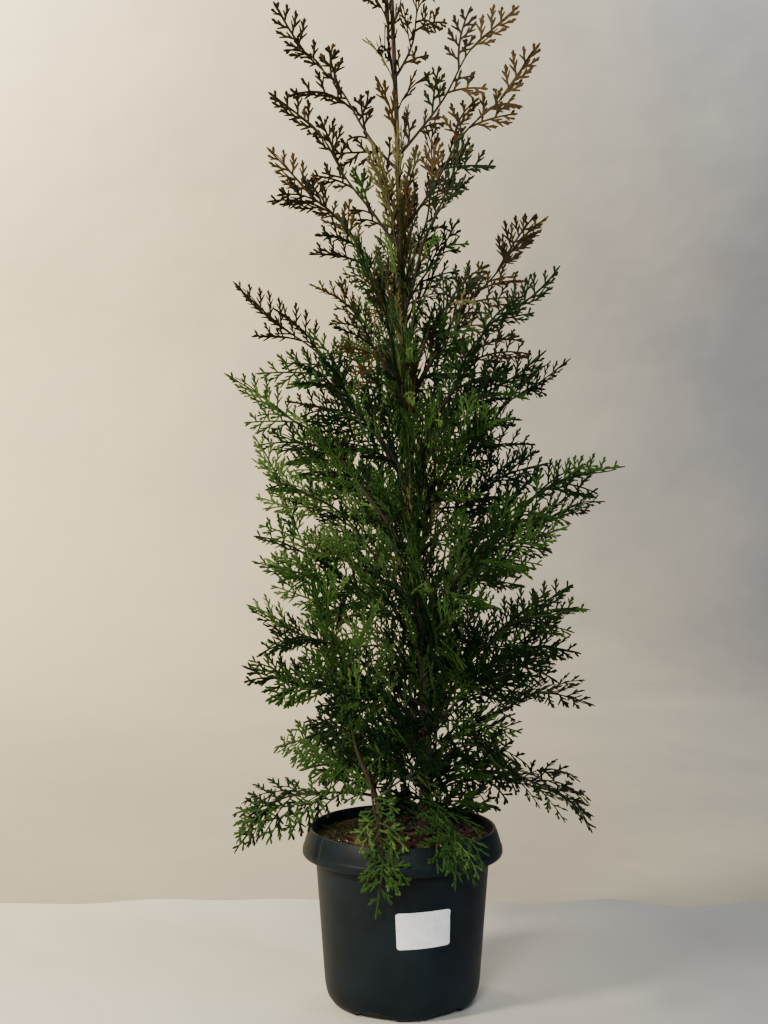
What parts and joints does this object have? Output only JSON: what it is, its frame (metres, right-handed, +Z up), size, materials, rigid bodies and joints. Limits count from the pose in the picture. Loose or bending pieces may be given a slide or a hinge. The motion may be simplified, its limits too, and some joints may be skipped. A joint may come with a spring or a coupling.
{
  "type": "potted conifer shrub",
  "caption": "Young upright arborvitae in a round nursery pot: trunk, second stem, boughs and flat fan-shaped foliage masses.",
  "frame": {"origin": "centre of the pot's flat underside", "axes": "+Z up along the pot's axis; -Y is the side the picture shows; +X is to the viewer's right"},
  "size_m": [0.4405, 0.4022, 1.305],
  "materials": {
    "pot_plastic": "moulded polypropylene, charcoal, satin with scuffs",
    "peat_soil": "damp peat with bark chips",
    "label_film": "blank white sticker",
    "bark": "thin fibrous purple-brown bark",
    "foliage": "scale-leaved flat sprays, dark green below to bronze at the top"
  },
  "bodies": {
    "root": {"bough_01a": "bark", "bough_01b": "bark", "bough_01c": "bark", "bough_01d": "bark", "bough_04a": "bark", "bough_04b": "bark", "bough_04c": "bark", "bough_09a": "bark", "bough_09b": "bark", "bough_09c": "bark", "bough_10a": "bark", "bough_10b": "bark", "bough_10c": "bark", "label": "label_film", "mass_01a": "foliage", "mass_01b": "foliage", "mass_01c": "foliage", "mass_01d": "foliage", "mass_02a": "foliage", "mass_02b": "foliage", "mass_02c": "foliage", "mass_03a": "foliage", "mass_03b": "foliage", "mass_03c": "foliage", "mass_04a": "foliage", "mass_04b": "foliage", "mass_04c": "foliage", "mass_05a": "foliage", "mass_05b": "foliage", "mass_05c": "foliage", "mass_06a": "foliage", "mass_06b": "foliage", "mass_06c": "foliage", "mass_07a": "foliage", "mass_07b": "foliage", "mass_07c": "foliage", "mass_08a": "foliage", "mass_08b": "foliage", "mass_08c": "foliage", "mass_09a": "foliage", "mass_09b": "foliage", "mass_09c": "foliage", "mass_10a": "foliage", "mass_10b": "foliage", "mass_10c": "foliage", "mass_11a": "foliage", "mass_11b": "foliage", "mass_12a": "foliage", "mass_12b": "foliage", "mass_13a": "foliage", "mass_13b": "foliage", "mass_14a": "foliage", "mass_crown_tip": "foliage", "mass_hanging_sprig": "foliage", "mass_stem_top": "foliage", "pot": "pot_plastic", "second_stem": "bark", "soil": "peat_soil", "trunk": "bark"}
  },
  "joints": []
}
